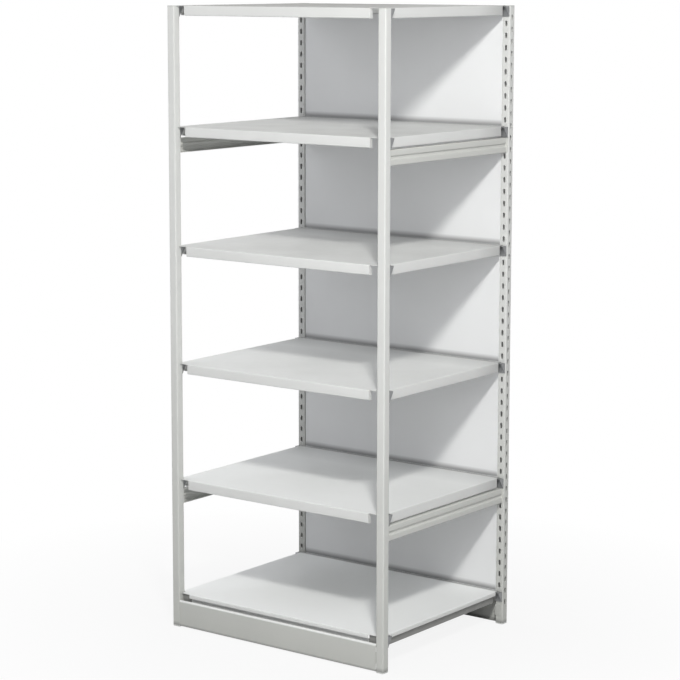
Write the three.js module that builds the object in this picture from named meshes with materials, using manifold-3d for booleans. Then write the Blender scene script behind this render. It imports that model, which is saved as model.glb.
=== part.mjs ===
// A boltless steel library shelving bay: slotted posts, shelves that rest on hook-in clips,
// grooved side ties, plinths at the foot and a folded back panel screwed between the rear posts.
// Millimetres, +Z up, the front faces -Y, and the origin is on the floor under the middle.
import * as THREE from "three";
import { mergeGeometries, mergeVertices } from "three/addons/utils/BufferGeometryUtils.js";
import Module from "manifold-3d";

const wasm = await Module();
wasm.setup();

// Overall sizes
const WIDTH = 760;
const DEPTH = 620;
const BASE_SHELF_TOP = 100;
const SHELF_SPACING = 340;
const SHELF_COUNT = 6;
const HEIGHT = BASE_SHELF_TOP + SHELF_SPACING * (SHELF_COUNT - 1);

// Clearances
const SEAT_GAP = 0.3;
const SLIDE_GAP = 2;

// Posts: square tube with a row of slots in the face towards the bay
const POST_SIZE = 25;
const POST_WALL = 1.5;
const POST_CORNER = 3;
const SLOT_WIDTH = 7;
const SLOT_HEIGHT = 16;
const SLOTS_PER_SPACING = 10;

// Plugs in the post ends
const FOOT_FLANGE = 4;
const FOOT_SPIGOT = 12;
const CAP_FLANGE = 2;
const CAP_SPIGOT = 10;

// Shelves: folded pans with a rib underneath
const SHELF_SHEET = 1.2;
const LIP_HEIGHT = 28;
const LIP_RETURN = 12;
const FRONT_LIP_INSET = 8;
const SIDE_LIP_INSET = 12;
const FRONT_LIP_END_GAP = 32;
const NOSE_HEIGHT = 12;
const NOSE_STEP = 8;
const BASE_LIP_HEIGHT = 34;
const BEND_RADIUS = 2;
const RIB_DEPTH = 18;
const RIB_CROWN = 24;
const RIB_SLOPE = 8;
const RIB_FLANGE = 14;

// Clips and hooks
const CLIP_WIDTH = 22;
const CLIP_HEIGHT = 30;
const CLIP_REACH = 18;
const CLIP_PLATE = 2;
const HOOK_THICKNESS = 2;
const TONGUE_HEIGHT = 7.3;
const HOOK_DROP = 6;

// Side ties, counted from the bottom shelf as 0
const TIE_LEVELS = [1, 4];
const TIE_HEIGHT = 42;
const TIE_DEPTH = 19;
const TIE_SHEET = 1.5;
const TIE_INSET = 5;
const GROOVE_DEPTH = 4;
const GROOVE_FLOOR = 6;
const GROOVE_SLOPE = 3;
const TIE_GAP = 1;

// Plinths
const PLINTH_SHEET = 1.2;
const PLINTH_INSET = 0.5;
const PLINTH_FLOOR_GAP = 3;
const PLINTH_DROP = 20;
const PLINTH_HEM = 5;
const PLINTH_FLANGE = 15;
const BRACKET_HEIGHT = 32;
const BRACKET_SHEET = 1.5;
const BRACKET_TAB = 20;
const BRACKET_MARGIN = 4;

// Back panel and its screws
const PANEL_SHEET = 1;
const PANEL_SETBACK = 22;
const PANEL_FLANGE = 15;
const PANEL_SIDE_GAP = 0.5;
const PANEL_END_GAP = 2;
const SCREWS_PER_SIDE = 4;
const SCREW_END_MARGIN = 120;
const SCREW_RADIUS = 1.9;
const SCREW_LENGTH = 9;
const SCREW_HEAD_RADIUS = 4;
const SCREW_HEAD_HEIGHT = 2.4;

// Facet counts
const BEND_STEPS = 2;
const CORNER_STEPS = 3;
const SCREW_SIDES = 8;

// Values worked out from the sizes above
const postX = WIDTH / 2 - POST_SIZE / 2;
const postY = DEPTH / 2 - POST_SIZE / 2;
const postBottom = FOOT_FLANGE + SEAT_GAP;
const postTop = HEIGHT - CAP_FLANGE - SEAT_GAP;
const shelfTops = Array.from({ length: SHELF_COUNT }, (_, level) => BASE_SHELF_TOP + level * SHELF_SPACING);
const slotPitch = SHELF_SPACING / SLOTS_PER_SPACING;
const ledgeDrop = SHELF_SHEET + SEAT_GAP;
const slotDrop = ledgeDrop + CLIP_HEIGHT / 2;
const plinthTop = BASE_SHELF_TOP - PLINTH_DROP;
const plinthMiddle = (PLINTH_FLOOR_GAP + plinthTop) / 2;
const panelBottom = plinthTop + PANEL_END_GAP;
const panelTop = HEIGHT - PANEL_END_GAP;
const tongueWidth = SLOT_WIDTH - 2 * SEAT_GAP;
const tieTopDrop = Math.max(LIP_HEIGHT, ledgeDrop + CLIP_HEIGHT) + TIE_GAP;
const screwHeights = Array.from({ length: SCREWS_PER_SIDE }, (_, i) => {
  const span = panelTop - panelBottom - 2 * SCREW_END_MARGIN;
  return panelBottom + SCREW_END_MARGIN + (span * i) / (SCREWS_PER_SIDE - 1);
});
const screwY = DEPTH / 2 - PANEL_SETBACK + PANEL_FLANGE / 2;

// Finishes
function finish(color, roughness, metalness) {
  return new THREE.MeshStandardMaterial({ color, roughness, metalness });
}
const framePaint = finish(0xd9dad6, 0.45, 0.1);
const shelfPaint = finish(0xdcdddb, 0.45, 0.1);
const panelPaint = finish(0xdadbdc, 0.5, 0.1);
const clipSteel = finish(0x6d6f70, 0.5, 0.6);
const plugPlastic = finish(0xc9cac7, 0.6, 0);
const screwSteel = finish(0xa9abad, 0.35, 0.9);

// A closed three.js geometry as a solid that can be joined and cut
function solid(geometry) {
  const bare = geometry.clone();
  bare.deleteAttribute("normal");
  bare.deleteAttribute("uv");
  const merged = mergeVertices(bare, 1e-4);
  const mesh = new wasm.Mesh({
    numProp: 3,
    vertProperties: new Float32Array(merged.attributes.position.array),
    triVerts: new Uint32Array(merged.index.array),
  });
  return new wasm.Manifold(mesh);
}

// A solid as a flat-shaded three.js geometry
function geometry(body) {
  const mesh = body.getMesh();
  const indexed = new THREE.BufferGeometry();
  indexed.setAttribute("position", new THREE.BufferAttribute(mesh.vertProperties, 3));
  indexed.setIndex(new THREE.BufferAttribute(mesh.triVerts, 1));
  const flat = indexed.toNonIndexed();
  flat.computeVertexNormals();
  return flat;
}

const join = (bodies) => bodies.reduce((whole, body) => whole.add(body));

// A box between two corners
function block(low, high) {
  const size = high.map((value, axis) => value - low[axis]);
  const box = new THREE.BoxGeometry(...size);
  box.translate(...low.map((value, axis) => value + size[axis] / 2));
  return box;
}

// The outline of a sheet of even thickness that follows a path, with a round bend at each inner point
function sheetShape(path, thickness) {
  const points = path.map(([x, y]) => new THREE.Vector2(x, y));
  const middle = [];
  const push = (point, direction) => {
    middle.push({ point, normal: new THREE.Vector2(-direction.y, direction.x) });
  };
  const heading = (i) => points[i + 1].clone().sub(points[i]).normalize();
  push(points[0], heading(0));
  for (let i = 1; i < points.length - 1; i++) {
    const before = heading(i - 1);
    const turn = Math.atan2(before.cross(heading(i)), before.dot(heading(i)));
    const setback = BEND_RADIUS * Math.tan(Math.abs(turn) / 2);
    const start = points[i].clone().addScaledVector(before, -setback);
    const toCentre = new THREE.Vector2(-before.y, before.x).multiplyScalar(Math.sign(turn) * BEND_RADIUS);
    const centre = start.clone().add(toCentre);
    for (let step = 0; step <= BEND_STEPS; step++) {
      const angle = (turn * step) / BEND_STEPS;
      const direction = before.clone().rotateAround(new THREE.Vector2(), angle);
      push(start.clone().rotateAround(centre, angle), direction);
    }
  }
  push(points[points.length - 1], heading(points.length - 2));
  const side = (offset) => middle.map(({ point, normal }) => point.clone().addScaledVector(normal, offset));
  return new THREE.Shape([...side(thickness / 2), ...side(-thickness / 2).reverse()]);
}

// A shape carried straight along Z from low to high
function extrudeZ(shape, low, high) {
  const body = new THREE.ExtrudeGeometry(shape, { depth: high - low, bevelEnabled: false });
  return body.translate(0, 0, low);
}

// A shape drawn in Y and Z, carried along X from low to high
function extrudeX(shape, low, high) {
  return extrudeZ(shape, low, high).rotateX(Math.PI / 2).rotateZ(Math.PI / 2);
}

// A shape drawn in X and Z, carried along Y from low to high
function extrudeY(shape, low, high) {
  return extrudeZ(shape, -high, -low).rotateX(Math.PI / 2);
}

// A square with round corners
function roundedSquare(size, radius) {
  const half = size / 2;
  const inner = half - radius;
  const points = [];
  const corners = [[1, 1], [-1, 1], [-1, -1], [1, -1]];
  corners.forEach(([sx, sy], quarter) => {
    for (let step = 0; step <= CORNER_STEPS; step++) {
      const angle = (quarter + step / CORNER_STEPS) * (Math.PI / 2);
      const centre = new THREE.Vector2(sx * inner, sy * inner);
      points.push(new THREE.Vector2(radius, 0).rotateAround(new THREE.Vector2(), angle).add(centre));
    }
  });
  return new THREE.Shape(points);
}

// Slot cutters in one column through the -Y wall of a post centred on the Z axis
function slotColumn(heights) {
  const cutters = heights.map((z) =>
    block(
      [-SLOT_WIDTH / 2, -POST_SIZE / 2 - POST_WALL, z - SLOT_HEIGHT / 2],
      [SLOT_WIDTH / 2, -POST_SIZE / 2 + 2 * POST_WALL, z + SLOT_HEIGHT / 2],
    ),
  );
  return mergeGeometries(cutters);
}

// A post centred on the Z axis with its slots towards -Y. A rear post also has slots in its outer side,
// half a pitch lower, and screw holes in its inner side; side is 1 where the outer side is +X and -1
// where it is -X.
function postGeometry(side) {
  const tube = roundedSquare(POST_SIZE, POST_CORNER);
  tube.holes.push(roundedSquare(POST_SIZE - 2 * POST_WALL, POST_CORNER - POST_WALL));
  const slotCount = (SHELF_COUNT - 1) * SLOTS_PER_SPACING + 1;
  const pattern = Array.from({ length: slotCount }, (_, i) => HEIGHT - slotDrop - i * slotPitch);
  let post = solid(extrudeZ(tube, postBottom, postTop));
  post = post.subtract(solid(slotColumn([...pattern, plinthMiddle])));
  if (side !== 0) {
    const sideColumn = slotColumn(pattern.map((z) => z - slotPitch / 2));
    const holes = screwHoles(POST_SIZE).translate(-side * (POST_SIZE / 2), screwY - postY, 0);
    post = post.subtract(solid(sideColumn.rotateZ((side * Math.PI) / 2)));
    post = post.subtract(solid(holes));
  }
  return geometry(post);
}

// Round cutters along X at the screw heights
function screwHoles(length) {
  const holes = screwHeights.map((z) => {
    const radius = SCREW_RADIUS + SEAT_GAP;
    const hole = new THREE.CylinderGeometry(radius, radius, length, SCREW_SIDES);
    return hole.rotateZ(Math.PI / 2).translate(0, 0, z);
  });
  return mergeGeometries(holes);
}

// A plastic plug for a post end: a flange the size of the post and a spigot that fits its bore, upwards
function plugGeometry(flange, spigot) {
  const fit = POST_WALL + SEAT_GAP;
  const plate = solid(extrudeZ(roundedSquare(POST_SIZE, POST_CORNER), 0, flange));
  const bore = roundedSquare(POST_SIZE - 2 * fit, POST_CORNER - POST_WALL);
  const core = solid(extrudeZ(bore, 0, flange + spigot));
  return geometry(plate.add(core));
}

// A hook on a plate before the -Y face of a post on the Z axis: its tongue goes through the slot at
// slotZ and its leg drops behind the wall
function hook(slotZ) {
  const face = -POST_SIZE / 2;
  const inside = face + POST_WALL + SEAT_GAP;
  const seat = slotZ - SLOT_HEIGHT / 2 + SEAT_GAP;
  const outline = new THREE.Shape([
    new THREE.Vector2(face - SEAT_GAP - CLIP_PLATE / 2, seat),
    new THREE.Vector2(inside, seat),
    new THREE.Vector2(inside, seat - HOOK_DROP),
    new THREE.Vector2(inside + HOOK_THICKNESS, seat - HOOK_DROP),
    new THREE.Vector2(inside + HOOK_THICKNESS, seat + TONGUE_HEIGHT),
    new THREE.Vector2(face - SEAT_GAP - CLIP_PLATE / 2, seat + TONGUE_HEIGHT),
  ]);
  return extrudeX(outline, -tongueWidth / 2, tongueWidth / 2);
}

// A shelf clip on the -Y face of a post on the Z axis, its ledge at the height 0: a folded angle with a
// web on each side and one hook
function clipGeometry() {
  const back = -POST_SIZE / 2 - SEAT_GAP;
  const front = -POST_SIZE / 2 - CLIP_REACH;
  const angle = new THREE.Shape([
    new THREE.Vector2(back, 0),
    new THREE.Vector2(front, 0),
    new THREE.Vector2(front, -CLIP_PLATE),
    new THREE.Vector2(back - CLIP_PLATE, -CLIP_PLATE),
    new THREE.Vector2(back - CLIP_PLATE, -CLIP_HEIGHT),
    new THREE.Vector2(back, -CLIP_HEIGHT),
  ]);
  const web = new THREE.Shape([
    new THREE.Vector2(back, 0),
    new THREE.Vector2(front, 0),
    new THREE.Vector2(front, -2 * CLIP_PLATE),
    new THREE.Vector2(back - CLIP_PLATE, -CLIP_HEIGHT),
    new THREE.Vector2(back, -CLIP_HEIGHT),
  ]);
  const half = CLIP_WIDTH / 2;
  const bodies = [
    extrudeX(angle, -half, half),
    extrudeX(web, -half, -half + CLIP_PLATE),
    extrudeX(web, half - CLIP_PLATE, half),
    hook(ledgeDrop - slotDrop),
  ];
  return geometry(join(bodies.map(solid)));
}

// The lip of the bottom shelf: a low nose, then a step back over the plinth and a deeper lip
function baseFold() {
  const half = SHELF_SHEET / 2;
  return [
    [NOSE_STEP + LIP_RETURN, -BASE_LIP_HEIGHT + half],
    [NOSE_STEP + half, -BASE_LIP_HEIGHT + half],
    [NOSE_STEP + half, -NOSE_HEIGHT + half],
    [half, -NOSE_HEIGHT + half],
    [half, -half],
  ];
}

// The plain lip of the other shelves
function shelfFold() {
  const half = SHELF_SHEET / 2;
  return [
    [LIP_RETURN, -LIP_HEIGHT + half],
    [half, -LIP_HEIGHT + half],
    [half, -half],
  ];
}

// A shelf with its top at the height 0: front and rear lips along X, side lips along Y, a plate with
// corners cut out round the posts, and a hat-shaped rib under the middle. fold is the section of one lip
// from its hidden end up to the plate, as insets from the lip's face and heights.
function shelfGeometry(fold) {
  const half = SHELF_SHEET / 2;
  const bend = BEND_RADIUS + half;
  const sideFace = WIDTH / 2 - SIDE_LIP_INSET;
  const frontFace = -DEPTH / 2 + FRONT_LIP_INSET;
  const rearFace = DEPTH / 2 - PANEL_SETBACK - SLIDE_GAP;
  const pan = (low, high) => sheetShape([
    ...fold.map(([inset, z]) => [low + inset, z]),
    ...fold.map(([inset, z]) => [high - inset, z]).reverse(),
  ], SHELF_SHEET);
  const lipX = WIDTH / 2 - POST_SIZE - FRONT_LIP_END_GAP;
  const lipY = DEPTH / 2 - POST_SIZE - CLIP_REACH - SLIDE_GAP;
  const notchX = WIDTH / 2 - POST_SIZE - SLIDE_GAP;
  const notchY = DEPTH / 2 - POST_SIZE - SLIDE_GAP;
  const plate = new THREE.Shape();
  plate.moveTo(-notchX, frontFace + bend);
  plate.lineTo(notchX, frontFace + bend);
  plate.lineTo(notchX, -notchY);
  plate.lineTo(sideFace - bend, -notchY);
  plate.lineTo(sideFace - bend, notchY);
  plate.lineTo(notchX, notchY);
  plate.lineTo(notchX, rearFace - bend);
  plate.lineTo(-notchX, rearFace - bend);
  plate.lineTo(-notchX, notchY);
  plate.lineTo(-sideFace + bend, notchY);
  plate.lineTo(-sideFace + bend, -notchY);
  plate.lineTo(-notchX, -notchY);
  const ribTop = -half - SHELF_SHEET;
  const ribHalf = RIB_CROWN / 2;
  const rib = sheetShape([
    [-ribHalf - RIB_SLOPE - RIB_FLANGE, ribTop],
    [-ribHalf - RIB_SLOPE, ribTop],
    [-ribHalf, ribTop - RIB_DEPTH],
    [ribHalf, ribTop - RIB_DEPTH],
    [ribHalf + RIB_SLOPE, ribTop],
    [ribHalf + RIB_SLOPE + RIB_FLANGE, ribTop],
  ], SHELF_SHEET);
  const bodies = [
    extrudeX(pan(frontFace, rearFace), -lipX, lipX),
    extrudeY(pan(-sideFace, sideFace), -lipY, lipY),
    extrudeZ(plate, -SHELF_SHEET, 0),
    extrudeX(rib, -lipX, lipX),
  ];
  return geometry(join(bodies.map(solid)));
}

// A side tie for the +X side with its top at the height 0: a C-shaped bar with a groove along its web,
// and an end plate with a hook for each post. Its length runs along Y and the post centres are at x = 0.
function tieGeometry() {
  const half = TIE_SHEET / 2;
  const web = POST_SIZE / 2 - TIE_INSET - half;
  const inner = web - TIE_DEPTH + TIE_SHEET;
  const grooveHalf = GROOVE_FLOOR / 2;
  const middle = -TIE_HEIGHT / 2;
  const profile = sheetShape([
    [inner, -TIE_HEIGHT + half],
    [web, -TIE_HEIGHT + half],
    [web, middle - grooveHalf - GROOVE_SLOPE],
    [web - GROOVE_DEPTH, middle - grooveHalf],
    [web - GROOVE_DEPTH, middle + grooveHalf],
    [web, middle + grooveHalf + GROOVE_SLOPE],
    [web, -half],
    [inner, -half],
  ], TIE_SHEET);
  const reach = DEPTH / 2 - POST_SIZE - SEAT_GAP;
  const plate = block(
    [-CLIP_WIDTH / 2, reach - CLIP_PLATE, -TIE_HEIGHT],
    [CLIP_WIDTH / 2, reach, 0],
  );
  const rearEnd = () => [plate.clone(), hook(tieTopDrop - slotDrop - slotPitch).translate(0, postY, 0)];
  const frontEnd = rearEnd().map((piece) => piece.rotateZ(Math.PI));
  const bar = extrudeY(profile, -reach + CLIP_PLATE / 2, reach - CLIP_PLATE / 2);
  return geometry(join([bar, ...rearEnd(), ...frontEnd].map(solid)));
}

// The rear plinth: a folded strip between the rear posts and, at each end, a bent bracket that goes round
// the post and hooks into its slotted face. Turned by half a turn it is the front plinth.
function plinthGeometry() {
  const half = PLINTH_SHEET / 2;
  const face = DEPTH / 2 - PLINTH_INSET - half;
  const strip = sheetShape([
    [face - PLINTH_FLANGE, PLINTH_FLOOR_GAP + half],
    [face, PLINTH_FLOOR_GAP + half],
    [face, plinthTop - half],
    [face - PLINTH_HEM, plinthTop - half],
  ], PLINTH_SHEET);
  const end = WIDTH / 2 - POST_SIZE - PLINTH_INSET;
  const leg = WIDTH / 2 - POST_SIZE - SEAT_GAP - BRACKET_SHEET / 2;
  const tab = face - half - BRACKET_SHEET / 2 + SEAT_GAP / 3;
  const lug = DEPTH / 2 - POST_SIZE - SEAT_GAP - BRACKET_SHEET / 2;
  const lowest = plinthMiddle - BRACKET_HEIGHT / 2;
  const bracket = (side) => {
    const path = [
      [side * (leg - BRACKET_TAB), tab],
      [side * leg, tab],
      [side * leg, lug],
      [side * (postX + tongueWidth / 2 + BRACKET_MARGIN), lug],
    ];
    return extrudeZ(sheetShape(path, BRACKET_SHEET), lowest, lowest + BRACKET_HEIGHT);
  };
  const bodies = [extrudeX(strip, -end, end)];
  for (const side of [-1, 1]) {
    bodies.push(bracket(side), hook(plinthMiddle).translate(side * postX, postY, 0));
  }
  return geometry(join(bodies.map(solid)));
}

// The back panel: a sheet with all four edges folded to the rear, and screw holes in its side folds
function panelGeometry() {
  const half = PANEL_SHEET / 2;
  const front = DEPTH / 2 - PANEL_SETBACK + half;
  const side = WIDTH / 2 - POST_SIZE - PANEL_SIDE_GAP - half;
  const back = front + PANEL_FLANGE;
  const across = sheetShape([[-side, back], [-side, front], [side, front], [side, back]], PANEL_SHEET);
  const upright = sheetShape([
    [back, panelBottom + half],
    [front, panelBottom + half],
    [front, panelTop - half],
    [back, panelTop - half],
  ], PANEL_SHEET);
  const inset = side - BEND_RADIUS - half;
  const bend = BEND_RADIUS + half;
  const sides = solid(extrudeZ(across, panelBottom + bend, panelTop - bend));
  const sheet = sides.add(solid(extrudeX(upright, -inset, inset)));
  return geometry(sheet.subtract(solid(screwHoles(WIDTH).translate(0, screwY, 0))));
}

// A pan-head screw along +Z with the underside of its head at 0
function screwGeometry() {
  const profile = [
    [0, -SCREW_HEAD_HEIGHT],
    [SCREW_HEAD_RADIUS - SCREW_HEAD_HEIGHT / 2, -SCREW_HEAD_HEIGHT],
    [SCREW_HEAD_RADIUS, -SCREW_HEAD_HEIGHT / 2],
    [SCREW_HEAD_RADIUS, 0],
    [SCREW_RADIUS, 0],
    [SCREW_RADIUS, SCREW_LENGTH - SCREW_RADIUS],
    [0, SCREW_LENGTH],
  ];
  const outline = profile.map(([x, y]) => new THREE.Vector2(x, y));
  return new THREE.LatheGeometry(outline, SCREW_SIDES).rotateX(Math.PI / 2);
}

const bay = new THREE.Group();

function place(name, shape, material, [x, y, z], [turnX, turnY, turnZ] = [0, 0, 0]) {
  const mesh = new THREE.Mesh(shape, material);
  mesh.name = name;
  mesh.position.set(x, y, z);
  mesh.rotation.set(turnX, turnY, turnZ);
  bay.add(mesh);
}

// The four posts with their plugs
const corners = [
  { name: "front_left", x: -postX, y: -postY, turn: Math.PI },
  { name: "front_right", x: postX, y: -postY, turn: Math.PI },
  { name: "rear_left", x: -postX, y: postY, turn: 0 },
  { name: "rear_right", x: postX, y: postY, turn: 0 },
];
const footShape = plugGeometry(FOOT_FLANGE, FOOT_SPIGOT);
const capShape = plugGeometry(CAP_FLANGE, CAP_SPIGOT);
const frontPostShape = postGeometry(0);
for (const { name, x, y, turn } of corners) {
  const shape = y < 0 ? frontPostShape : postGeometry(Math.sign(x));
  place(`post_${name}`, shape, framePaint, [x, y, 0], [0, 0, turn]);
  place(`foot_${name}`, footShape, plugPlastic, [x, y, 0]);
  place(`cap_${name}`, capShape, plugPlastic, [x, y, HEIGHT], [Math.PI, 0, 0]);
}

// The shelves, numbered from the bottom, each on four clips
const baseShape = shelfGeometry(baseFold());
const shelfShape = shelfGeometry(shelfFold());
const clipShape = clipGeometry();
shelfTops.forEach((top, level) => {
  place(`shelf_${level + 1}`, level === 0 ? baseShape : shelfShape, shelfPaint, [0, 0, top]);
  for (const { name, x, y, turn } of corners) {
    place(`clip_${level + 1}_${name}`, clipShape, clipSteel, [x, y, top - ledgeDrop], [0, 0, turn]);
  }
});

// The side ties
const tieShape = tieGeometry();
for (const level of TIE_LEVELS) {
  const top = shelfTops[level] - tieTopDrop;
  place(`tie_${level + 1}_left`, tieShape, framePaint, [-postX, 0, top], [0, 0, Math.PI]);
  place(`tie_${level + 1}_right`, tieShape, framePaint, [postX, 0, top]);
}

// The plinths, the back panel and its screws
const plinthShape = plinthGeometry();
place("plinth_front", plinthShape, framePaint, [0, 0, 0], [0, 0, Math.PI]);
place("plinth_rear", plinthShape, framePaint, [0, 0, 0]);
place("back_panel", panelGeometry(), panelPaint, [0, 0, 0]);
const screwShape = screwGeometry();
const headX = WIDTH / 2 - POST_SIZE - PANEL_SIDE_GAP - PANEL_SHEET - SEAT_GAP;
screwHeights.forEach((z, i) => {
  place(`panel_screw_left_${i + 1}`, screwShape, screwSteel, [-headX, screwY, z], [0, -Math.PI / 2, 0]);
  place(`panel_screw_right_${i + 1}`, screwShape, screwSteel, [headX, screwY, z], [0, Math.PI / 2, 0]);
});

export default bay;
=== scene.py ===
"""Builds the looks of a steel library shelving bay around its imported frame.

Every piece is a surface worked out with numpy in metres. It stands where its node of the frame stands
and rides on the same body.
"""

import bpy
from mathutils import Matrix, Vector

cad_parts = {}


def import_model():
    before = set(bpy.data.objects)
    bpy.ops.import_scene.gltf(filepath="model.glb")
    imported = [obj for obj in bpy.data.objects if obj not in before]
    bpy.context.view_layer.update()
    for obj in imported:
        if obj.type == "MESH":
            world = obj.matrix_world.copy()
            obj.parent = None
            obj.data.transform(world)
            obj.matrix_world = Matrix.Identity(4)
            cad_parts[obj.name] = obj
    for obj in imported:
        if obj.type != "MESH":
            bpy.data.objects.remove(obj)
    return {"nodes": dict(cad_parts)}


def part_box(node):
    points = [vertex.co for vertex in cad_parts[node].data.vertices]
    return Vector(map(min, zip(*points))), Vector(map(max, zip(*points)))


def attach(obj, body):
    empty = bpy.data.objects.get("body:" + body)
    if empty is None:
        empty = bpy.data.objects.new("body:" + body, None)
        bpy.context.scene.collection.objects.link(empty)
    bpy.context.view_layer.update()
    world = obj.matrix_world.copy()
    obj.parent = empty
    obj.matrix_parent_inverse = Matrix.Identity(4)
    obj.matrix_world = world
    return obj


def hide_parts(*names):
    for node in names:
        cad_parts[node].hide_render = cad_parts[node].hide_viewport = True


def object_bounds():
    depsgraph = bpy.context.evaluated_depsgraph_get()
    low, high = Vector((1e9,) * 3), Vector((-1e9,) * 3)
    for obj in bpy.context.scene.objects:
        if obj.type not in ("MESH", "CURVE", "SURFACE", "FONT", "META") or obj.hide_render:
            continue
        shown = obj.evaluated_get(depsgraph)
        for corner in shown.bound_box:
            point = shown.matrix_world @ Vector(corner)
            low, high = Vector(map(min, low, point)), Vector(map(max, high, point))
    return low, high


bl_info = {
    "name": "Library shelving bay",
    "version": (1, 0, 0),
    "blender": (4, 5, 0),
    "location": "View3D > Sidebar > Shelving",
    "description": "Builds the posts, shelves, clips, ties, plinths and back panel of a library bay",
    "category": "Add Mesh",
}

import math

import bmesh
import bpy
import numpy as np
from mathutils import Vector

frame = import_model()
CAD_LOW, CAD_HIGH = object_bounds()


def nodes_named(start):
    """The frame's nodes whose names start so, in order."""
    return sorted(name for name in frame["nodes"] if name.startswith(start))


# Sizes that the frame gives
SIDES = {"left": -1, "right": 1}
ENDS = {"front": -1, "rear": 1}
CORNERS = {f"{end}_{side}": (SIDES[side], ENDS[end]) for end in ENDS for side in SIDES}
SHELF_NODES = nodes_named("shelf_")
BASE_SHELF = SHELF_NODES[0]
SHELF_TOPS = [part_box(name)[1].z for name in SHELF_NODES]
SHELF_SPACING = SHELF_TOPS[1] - SHELF_TOPS[0]
POST_LOW, POST_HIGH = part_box("post_rear_right")
POST_SIZE = POST_HIGH.x - POST_LOW.x
POST_X = (POST_LOW.x + POST_HIGH.x) / 2
POST_Y = (POST_LOW.y + POST_HIGH.y) / 2
POST_INNER_X = POST_X - POST_SIZE / 2
POST_INNER_Y = POST_Y - POST_SIZE / 2
CLIP_LOW, CLIP_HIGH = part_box("clip_1_rear_right")
CLIP_WIDTH = CLIP_HIGH.x - CLIP_LOW.x
CLIP_HEIGHT = CLIP_HIGH.z - CLIP_LOW.z
CLIP_REACH = POST_LOW.y - CLIP_LOW.y
LEDGE_DROP = SHELF_TOPS[0] - CLIP_HIGH.z
PLINTH_LOW, PLINTH_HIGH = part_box("plinth_rear")
PLINTH_MIDDLE = (PLINTH_LOW.z + PLINTH_HIGH.z) / 2
PANEL_LOW, PANEL_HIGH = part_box("back_panel")

# How finely surfaces are drawn, and how their edges are finished
ARC_STEPS = 6
SHELF_STOPS = (9, 7)
PANEL_STOPS = (9, 15)
PLUG_STOPS = 3
HEIGHT_DIGITS = 6
BEND_RELIEF = 0.0003
WELD_DISTANCE = 1e-6
SHARP_ANGLE = math.radians(32)
EDGE_ANGLE = math.radians(50)
EDGE_SEGMENTS = 2

# A screw's dome and the cross pressed into it, as shares of the head's radius and height
SCREW_SIDES = 48
DOME_RINGS = 14
RIM_RINGS = 3
DOME_POWER = 0.6
CROSS_HALF_WIDTH = 0.14
CROSS_REACH = 0.62
CROSS_SLOPE = 3
CROSS_DEPTH = 0.55

# Patterns of the finishes: waves in each metre, ranges of noise, shares of tone and depths in metres
NOISE_RANGE = (0.3, 0.7)
DRIFT_WAVES = 3.0
DRIFT_RANGE = (0.35, 0.65)
DRIFT_TONE = 0.965
GLOSS_WAVES = 45.0
GLOSS_SWING = 0.05
PEEL_STRENGTH = 0.22
PEEL_DEPTH = 0.0004
STREAK_WAVES = 900.0
STREAK_STRETCH = (1.0, 1.0, 0.06)
STREAK_SWING = 0.1
STREAK_STRENGTH = 0.15
STREAK_DEPTH = 0.0002
MOTTLE_WAVES = 120.0
MOTTLE_TONES = (0.75, 1.15)
CLOUD_WAVES = 25.0
CLOUD_TONE = 0.94
SPARK_WAVES = 1500.0
SPARK_ROUGHNESS = (0.5, 0.65)
SPARK_STRENGTH = 0.2
SPARK_DEPTH = 0.0002
# Dust and painted shade on upward faces: the film darkens the shelves more the higher they stand, and the
# coat darkens the top shelf.
DUST_WAVES = 9.0
DUST_THIN = 0.75
DUST_AND_SHADE_FILM = 0.55
DUST_AND_SHADE_COAT = 0.45
LEVEL_MARGIN = 0.01
# Painted shade: the band on the back panel above each shelf, from full to none, in metres above the shelf
# top.
PANEL_SHADE_LINE = (0.004, 0.018)
FACING_RANGE = (0.75, 0.95)
MASK_EDGE = 0.001

# Sockets of the colour mix, which share their names with others
MIX_FIRST = 6
MIX_SECOND = 7
MIX_COLOUR = 2

SENSOR_WIDTH = 36.0
SOFT_LAMPS = ("left", "right", "front", "rear")
WHITE = (1, 1, 1, 1)


def setting(kind, **fixed):
    """A maker of properties of one kind, each with its own name, description and default."""
    def make(name, description, default):
        return kind(name=name, description=description, default=default, **fixed)
    return make


# Values that a user may change: sizes, places and insets in metres, angles, linear colours, shares from 0
# to 1, watts and plain numbers
length = setting(bpy.props.FloatProperty, unit="LENGTH", precision=4, min=0.0)
point = setting(bpy.props.FloatVectorProperty, subtype="XYZ", unit="LENGTH")
extent = setting(bpy.props.FloatVectorProperty, size=2, unit="LENGTH", precision=4, min=0.0)
turn = setting(bpy.props.FloatProperty, subtype="ANGLE")
colour = setting(bpy.props.FloatVectorProperty, subtype="COLOR", size=3, min=0.0, max=1.0)
share = setting(bpy.props.FloatProperty, subtype="FACTOR", min=0.0, max=1.0)
watts = setting(bpy.props.FloatProperty, unit="POWER")
amount = setting(bpy.props.FloatProperty)


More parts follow.
